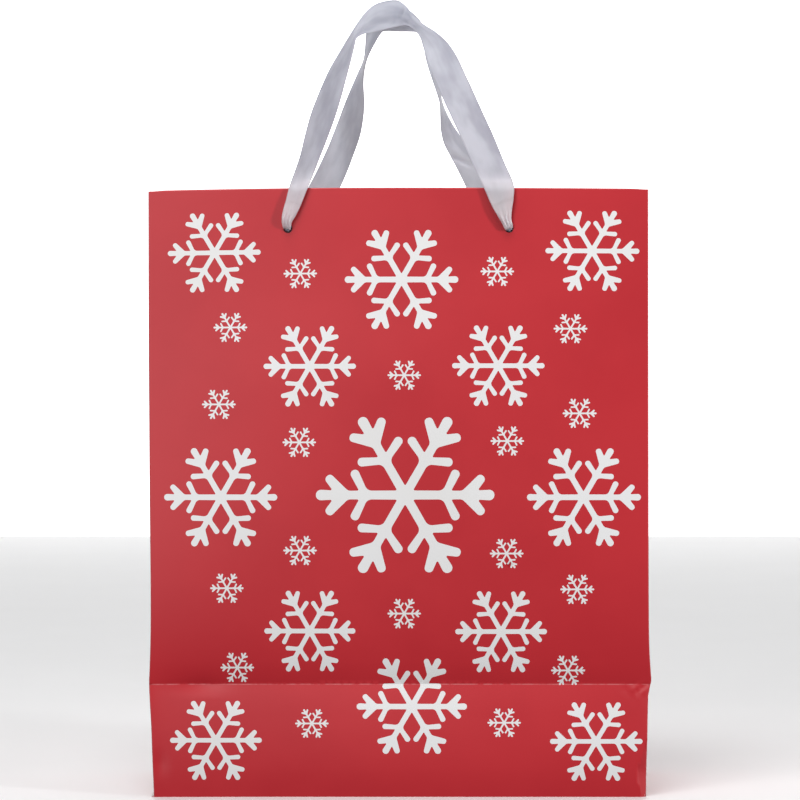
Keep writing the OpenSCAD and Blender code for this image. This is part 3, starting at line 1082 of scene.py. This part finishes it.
BACK_ROUTE = [
    (-59.8, 299.4, -57, 299, 3, 3, 0),
    (-60.3, 298.6, -56.8, 297.8, 1.4, 1.4, 0.1),
    (-60.8, 300, -56.4, 298.8, 0.1, 0, 0.3),
    (-61.1, 303.6, -55.8, 301.6, -0.2, -0.2, 0.6),
    (-60.8, 308, -53, 305.5, 0, 0, 0.7),
    (-59.4, 314, -48.5, 310.5, 0.2, 0, 0.6),
    (-56.4, 320.5, -43.6, 316, 0.4, 0, 0.6),
    (-50.6, 328, -37, 322, 5, 0, 0.8),
    (-44.6, 338.5, -31, 332, 6, 0.5, 1.4),
    (-38.8, 350.5, -25.6, 344.5, 4, 3, 2.4),
    (-34, 362.5, -21, 357, 1, 8, 1.6),
    (-28.6, 375.5, -19, 370.5, 1, 11, 0.8),
    (-23.2, 387, -19.4, 383, 1, 13, 0.6),
    (-19.4, 395, -18, 392.5, 2, 13, 0.4),
    (-18.2, 402, -15, 400, 1.5, 9, 0.6),
    (-17.4, 411, -9.6, 408.8, 0.5, 7, 0.8),
    (-13.5, 418, -6.6, 409.4, 0, 11, 0.6),
    (-7.5, 422, -2.6, 409, 0, 14, 0.3),
    (-0.5, 423.2, 1.4, 408.8, 0, 15, 0.3),
    (6, 421, 6, 408.8, 0, 15, 0.4),
    (12, 415.6, 10.6, 408.4, 0, 12, 0.6),
    (16.6, 408, 13.4, 404.5, 0, 9, 0.6),
    (19.2, 400, 15, 396.5, 1, 4, 0.6),
    (21.4, 391, 17.4, 388, 1, 8, 0.4),
    (23, 382.5, 20.2, 380, 1, 12, 0.4),
    (24, 374.5, 22.6, 372.5, 1, 14, 0.3),
    (27, 367, 23.2, 365, 1, 13, 0.6),
    (31.6, 359.5, 23.6, 358, 1, 11, 1),
    (37.6, 352, 25.6, 350.5, 1, 8, 1.4),
    (44, 345.5, 30, 343, 1, 5, 1.2),
    (50, 337.5, 35, 334, 1, 2, 0.8),
    (55.4, 328.5, 40.4, 324, 0.5, 1, 0.6),
    (59.4, 320.5, 46, 316, 0.2, 0, 0.6),
    (60.4, 313.5, 50, 310, 0, 0, 0.5),
    (60.6, 308, 53, 305, 0.2, 0, 0.6),
    (60.8, 303.8, 55.6, 301.4, 0, 0, 0.4),
    (60.4, 300.2, 56, 298.6, 0.1, 0, 0.3),
    (60, 298.8, 56.4, 297.8, 1.4, 1.4, 0.1),
    (59.6, 299.4, 56.8, 299, 3, 3, 0),
]
LEG_END = 5
ACROSS = 15
PER_ROW = 12
print("rows of the two routes:", len(FRONT_ROUTE), len(BACK_ROUTE))

# %% [markdown]
# Below the mouth the ribbon lies close to the bag, and above it leans inwards in a straight slope,
# tucked in a little, so that the same ribbon lies on the panel when the handle hangs outside.
# The satin is drawn as a fine grid between the two edges, bowed a little across, with small gathers
# near the holes that fan out and fade. Where the ribbon turns over at the top, a few short creases
# run in from the inner edge.

# %% Ribbon surface
TUCK = 3 * MM
PLEATS = 3
PLEAT_DEPTH = 0.45


def plane_y(z):
    """Distance of the ribbon's middle plane from the middle of the bag, at height z."""
    over = np.clip(z - BEND_Z, 0, None)
    soft = 6 * MM
    slope = np.where(over < soft, over * over / (2 * soft), over - soft / 2)
    return HINGE_Y - math.tan(LEAN) * slope - TUCK * step(over, 0, 12 * MM)


def ribbon_grid(route, side, creases):
    """A grid of points over the whole ribbon. side is -1 in front and 1 behind."""
    rows = smooth_rows(route, PER_ROW * (len(route) - 1) + 1)
    t = np.linspace(0, 1, ACROSS)[None, :]
    places = (rows[:, k : k + 1] for k in range(7))
    outer_x, outer_z, inner_x, inner_z, outer_back, inner_back, bow = places
    x = outer_x * (1 - t) + inner_x * t
    z = outer_z * (1 - t) + inner_z * t
    back = outer_back * (1 - t) + inner_back * t - bow * 4 * t * (1 - t)
    gather = np.exp(-((z - 299) / 7.0) ** 2) * step(z, 298.5, 301.5)
    back = back + PLEAT_DEPTH * gather * np.cos(t * 2 * PLEATS * math.pi + 0.6)
    for x0, z0, turn, long, wide, deep in creases:
        c, s = math.cos(math.radians(turn)), math.sin(math.radians(turn))
        along = ((x - x0) * c + (z - z0) * s) / long
        off = (-(x - x0) * s + (z - z0) * c) / wide
        back = back + deep * np.exp(-along * along - off * off)
    y = plane_y(z * MM) / MM - back
    return np.stack([x, side * y, z], -1) * MM


def grid_normals(grid, side):
    """Unit normals of a grid of points, on the ribbon's outer side."""
    normal = np.cross(np.gradient(grid, axis=0), np.gradient(grid, axis=1))
    normal /= np.maximum(np.linalg.norm(normal, axis=2), 1e-12)[:, :, None]
    return normal * np.sign((normal[:, :, 1] * side).sum() + 1e-9)


def grid_faces(rows, columns, first=0):
    """Four-sided faces of a grid of points."""
    return [
        [first + i * columns + j, first + i * columns + j + 1,
         first + (i + 1) * columns + j + 1, first + (i + 1) * columns + j]
        for i in range(rows - 1)
        for j in range(columns - 1)
    ]


def strip_faces(rows, columns, first=0):
    """Faces of a closed strip: its front grid, the back grid whose points follow, and the rim."""
    count = rows * columns
    front = grid_faces(rows, columns, first)
    back = [[a + count for a in face[::-1]] for face in front]
    border = [(i, 0) for i in range(rows)] + [(rows - 1, j) for j in range(1, columns)]
    border += [(i, columns - 1) for i in range(rows - 2, -1, -1)]
    border += [(0, j) for j in range(columns - 2, 0, -1)]
    ring = [first + i * columns + j for i, j in border]
    rim = [[a, b, b + count, a + count] for a, b in zip(ring, ring[1:] + ring[:1])]
    return front, back, rim


RIBBON_T = 0.35 * MM
# Heights over which the painted highlight near the holes is full and then fades away.
PAINTED_HIGHLIGHT_FULL = HOLE_Z + 10 * MM
PAINTED_HIGHLIGHT_GONE = HOLE_Z + 36 * MM


def ribbon_piece(name, grid, normal, along, span):
    """A closed strip of ribbon from a stretch of its grid."""
    grid, normal, along = grid[span], normal[span], along[span]
    rows, columns = grid.shape[:2]
    half = normal * RIBBON_T / 2
    points = np.vstack([(grid + half).reshape(-1, 3), (grid - half).reshape(-1, 3)])
    count = rows * columns
    front, back, rim = strip_faces(rows, columns)
    width = np.linspace(0, RIBBON_W, columns)
    uv = np.stack(np.broadcast_arrays(width[None, :], along[:, None]), -1).reshape(-1, 2)
    faces = front + back + rim
    flat_normal = normal.reshape(-1, 3)
    a, b, c = (grid.reshape(-1, 3)[front[len(front) // 2][k]] for k in range(3))
    if np.cross(b - a, c - a) @ flat_normal[front[len(front) // 2][0]] < 0:
        faces = [face[::-1] for face in faces]
    corner_normals = []
    for index, face in enumerate(faces):
        if index < 2 * len(front):
            sign = 1 if index < len(front) else -1
            corner_normals.append(sign * flat_normal[np.array(face) % count])
        else:
            across = np.cross(points[face[2]] - points[face[0]], points[face[3]] - points[face[1]])
            corner_normals.append(np.tile(across / max(np.linalg.norm(across), 1e-12), (4, 1)))
    piece = make_mesh(
        name, points, faces, [0] * len(faces), np.vstack([uv, uv]), [silver_satin],
        np.vstack(corner_normals)
    )
    # Weight of the painted highlight on the satin, stored on the ribbon: full near the holes, gone higher
    # up.
    gathered = 1 - step(points[:, 2], PAINTED_HIGHLIGHT_FULL, PAINTED_HIGHLIGHT_GONE)
    mark = piece.data.attributes.new("gathered", "FLOAT", "POINT")
    mark.data.foreach_set("value", gathered.astype(np.float32))
    print(f"{name}: {len(faces)} faces")
    return piece


FRONT_CREASES = [
    (-1, 416, 70, 5, 1.4, 0.9), (2.5, 417.5, 62, 4, 1, -0.8), (6, 415, 40, 4, 1, 0.9),
    (4.5, 412.6, -25, 4, 0.9, 0.8), (9.5, 411, -35, 4, 0.8, -0.8), (-20.4, 408.6, 62, 3.5, 0.8, 0.9),
    (-9, 413, 20, 6, 2, 0.6), (-13, 417, 35, 5, 1.8, -0.5), (30, 379, 55, 9, 4, 0.8),
    (33, 366, 60, 10, 5, -0.6), (-44, 352, 70, 12, 3, 0.8),
]
BACK_CREASES = [(34, 342.5, -20, 8, 1.3, -1.4), (28, 350, -30, 7, 2, 1), (-16, 404, 55, 5, 1.2, 0.8)]
for word, route, side, creases in (
    ("front", FRONT_ROUTE, -1, FRONT_CREASES), ("back", BACK_ROUTE, 1, BACK_CREASES)
):
    grid = ribbon_grid(route, side, creases)
    normal = grid_normals(grid, side)
    middle = grid[:, ACROSS // 2]
    along = np.concatenate([[0], np.cumsum(np.linalg.norm(np.diff(middle, axis=0), axis=1))])
    cut = LEG_END * PER_ROW
    hinge = np.array([0, side * HINGE_Y, 0])
    legs = [
        ribbon_piece(f"{word}_left_leg_ribbon", grid, normal, along, slice(0, cut + 1)),
        ribbon_piece(f"{word}_right_leg_ribbon", grid, normal, along, slice(len(grid) - 1 - cut, None)),
    ]
    loop = ribbon_piece(f"{word}_loop_ribbon", grid, normal, along, slice(cut, len(grid) - cut))
    for leg in legs:
        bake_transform(leg)
    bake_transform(loop)
    for leg in legs:
        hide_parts(f"{word}_handle_legs")
    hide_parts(f"{word}_handle_loop")
    print(f"{word} ribbon: {along[-1] / MM:.0f} mm from hole to hole")

# %% [markdown]
# ## Knots
# Behind each hole the ribbon is tied in an overhand knot. The knot is bigger than the hole, so it
# stops the ribbon from being pulled out, and a short tail is left below it. The knot is a rolled
# ribbon led along an overhand knot's own path, with ridges where the satin is bunched up.

# %% Knots
AROUND = 20
KNOT_Y = 53.9
KNOT_ROWS = 90
STEM_ROWS = 14
TAIL_ROWS = 24
TAIL_ACROSS = 9
TAIL_T = 0.32


def tube(path, sizes, ridges):
    """Points of a rolled-up ribbon led along a path, with ridges along it."""
    path = np.array(path)
    tangent = np.gradient(path, axis=0)
    tangent /= np.linalg.norm(tangent, axis=1)[:, None]
    side = np.cross(tangent, np.array([0.31, 0.17, 0.93]))
    side /= np.linalg.norm(side, axis=1)[:, None]
    other = np.cross(tangent, side)
    angle = np.linspace(0, 2 * math.pi, AROUND, endpoint=False)[None, :]
    radius = np.array(sizes)[:, None] * (1 + 0.12 * np.cos(ridges * angle))
    return path[:, None] + (radius * np.cos(angle))[:, :, None] * side[:, None] + (
        radius * np.sin(angle)
    )[:, :, None] * other[:, None]


def tube_faces(rows, first):
    """Faces of a tube, closed at both ends by a face over its whole ring."""
    faces = [
        [first + i * AROUND + j, first + i * AROUND + (j + 1) % AROUND,
         first + (i + 1) * AROUND + (j + 1) % AROUND, first + (i + 1) * AROUND + j]
        for i in range(rows - 1)
        for j in range(AROUND)
    ]
    last = first + (rows - 1) * AROUND
    return faces + [[first + j for j in range(AROUND)][::-1], [last + j for j in range(AROUND)]]


def knot_tubes(x, side):
    """The knot's loops, its stem through the hole and its tail, in mm."""
    centre = np.array([x, side * KNOT_Y, 298.3])
    t = np.linspace(0.12, 2 * math.pi - 0.12, KNOT_ROWS)
    knot = np.stack(
        [np.sin(t) + 2 * np.sin(2 * t), -side * np.sin(3 * t) * 1.3, np.cos(t) - 2 * np.cos(2 * t)], 1
    ) * 1.02 + centre
    stem_y = np.linspace(55, 61.2, STEM_ROWS)
    stem_z = np.linspace(298.4, 298.7, STEM_ROWS)
    stem = np.stack([np.full(STEM_ROWS, x), side * stem_y, stem_z], 1)
    s = np.linspace(0, 1, TAIL_ROWS)
    tail = np.stack(
        [x + 0.8 * np.sin(3 * s), side * (KNOT_Y - 1.6 * np.sin(2.4 * s)), 297 - 11.6 * s], 1
    )
    return [(knot, np.full(KNOT_ROWS, 1.35), 5), (stem, np.full(STEM_ROWS, 1.5), 6)], tail


def knot_piece(name, x, side, node):
    """A closed mesh of a knot, its stem and its pleated tail, standing for a frame node."""
    rolls, tail = knot_tubes(x, side)
    points, faces, uv = [], [], []
    for path, sizes, ridges in rolls:
        rows = tube(path, sizes, ridges)
        faces += tube_faces(len(rows), len(points))
        points += rows.reshape(-1, 3).tolist()
        long = np.linspace(0, 2.5 * len(rows) / 20, len(rows))
        wide = np.linspace(1, 16, AROUND)
        uv += [(w, v) for v in long for w in wide]
    opening = TAIL_ROWS // 2
    width = np.concatenate([np.linspace(1.2, 3.8, opening), np.linspace(3.8, 4, opening)])
    t = np.linspace(-1, 1, TAIL_ACROSS)
    pleat = 0.4 * np.cos(t * 7)
    for strip in strip_faces(TAIL_ROWS, TAIL_ACROSS, len(points)):
        faces += strip
    for sign in (1, -1):
        depth = np.broadcast_to(pleat + sign * TAIL_T / 2, (TAIL_ROWS, TAIL_ACROSS))
        grid = tail[:, None] + np.stack(
            [width[:, None] * t[None, :], depth, 0.16 * width[:, None] * t[None, :]], -1
        )
        points += grid.reshape(-1, 3).tolist()
        uv += [(8.5 + 8 * w, 0.5 * k) for k in range(TAIL_ROWS) for w in t]
    piece = make_mesh(
        name, np.array(points) * MM, faces, [0] * len(faces), np.array(uv) * MM, [silver_satin]
    )
    turned = bmesh.new()
    turned.from_mesh(piece.data)
    bmesh.ops.recalc_face_normals(turned, faces=turned.faces)
    turned.to_mesh(piece.data)
    turned.free()
    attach(piece, "bag")
    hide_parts(node)
    return piece


for word, side in (("front", -1), ("back", 1)):
    for hand, x in (("left", -HOLE_X / MM), ("right", HOLE_X / MM)):
        knot = knot_piece(f"{word}_{hand}_knot_ribbon", x, side, f"{word}_{hand}_knot")
        print(f"{knot.name}: {len(knot.data.polygons)} faces")

# %% [markdown]
# ## Floor, backdrop and light
# The bag stands on a plain pale table with a white glowing backdrop behind it. The strip of table
# in front of the bag is seen but throws no light back, so the foot of the bag stays as deep in tone
# as it is in a studio with a dark floor in front. A small light at the right throws the ribbons'
# shadows, a wide one from the left puts the film's sheen on the left half, one from above lights
# the handles and a weak low one fills the foot. The room looks pale and gives only a dim light.

# %% Studio
def plain_sheet(name, corners, material):
    """A four-cornered sheet of the studio, which isn't part of the bag."""
    mesh = bpy.data.meshes.new(name)
    mesh.from_pydata(corners, [], [(0, 1, 2, 3)])
    mesh.materials.append(material)
    made = bpy.data.objects.new(name, mesh)
    bpy.context.scene.collection.objects.link(made)
    return made


table_top, start, shader = new_material("white_table", IOR=1.4)
where = start.node("ShaderNodeTexCoord", output="Object")
tone = start.mix(noise(start, where, 6.0), (0.80, 0.80, 0.80, 1), (0.83, 0.83, 0.83, 1))
feed(shader, "Base Color", tone)
feed(shader, "Roughness", 0.40 + noise(start, where, 14.0) * 0.06)
front_line = panel_low.y + 6 * MM
floor_corners = [(x, y, 0) for x, y in rectangle(-6, front_line, 6, 6)]
apron_corners = [(x, y, 0) for x, y in rectangle(-6, -1.3, 6, front_line)]
plain_sheet("studio_floor", floor_corners, table_top)
apron = plain_sheet("studio_apron", apron_corners, table_top)
apron.visible_diffuse = False
apron.visible_glossy = False
apron.visible_shadow = False

glow, start, shader = new_material(
    "white_backdrop", Base_Color=(1, 1, 1, 1), Emission_Color=(1, 1, 1, 1), Emission_Strength=1.1
)
plain_sheet("studio_backdrop", [(-4, 3, 0), (4, 3, 0), (4, 3, 4), (-4, 3, 4)], glow)


def soft_light(name, place, aim, size, power):
    """A square soft light that points at aim."""
    lamp = bpy.data.lights.new(name, "AREA")
    lamp.size = size
    lamp.energy = power
    made = bpy.data.objects.new(name, lamp)
    made.location = place
    made.rotation_euler = (Vector(aim) - Vector(place)).to_track_quat("-Z", "Y").to_euler()
    bpy.context.scene.collection.objects.link(made)


bag_middle = (0, 0, 0.25)
soft_light("key_light", (1.3, -0.85, 0.5), bag_middle, 0.2, 13)
soft_light("sheen_light", (-0.82, -1.62, 0.72), bag_middle, 1.0, 14.5)
soft_light("low_fill", (-0.8, -1.8, 0.0), (0, 0, 0.3), 0.7, 1.5)
soft_light("top_light", (-0.2, -0.7, 1.7), bag_middle, 0.7, 15.5)
world = bpy.data.worlds.new("studio_room")
world.use_nodes = True
start = Shade(world.node_tree)
seen = start.node("ShaderNodeLightPath")
room = start.mix(seen, (0.10, 0.10, 0.105, 1), (0.9, 0.9, 0.9, 1))
world.node_tree.links.new(room.plug, world.node_tree.nodes["Background"].inputs["Color"])
bpy.context.scene.world = world
print("studio ready")
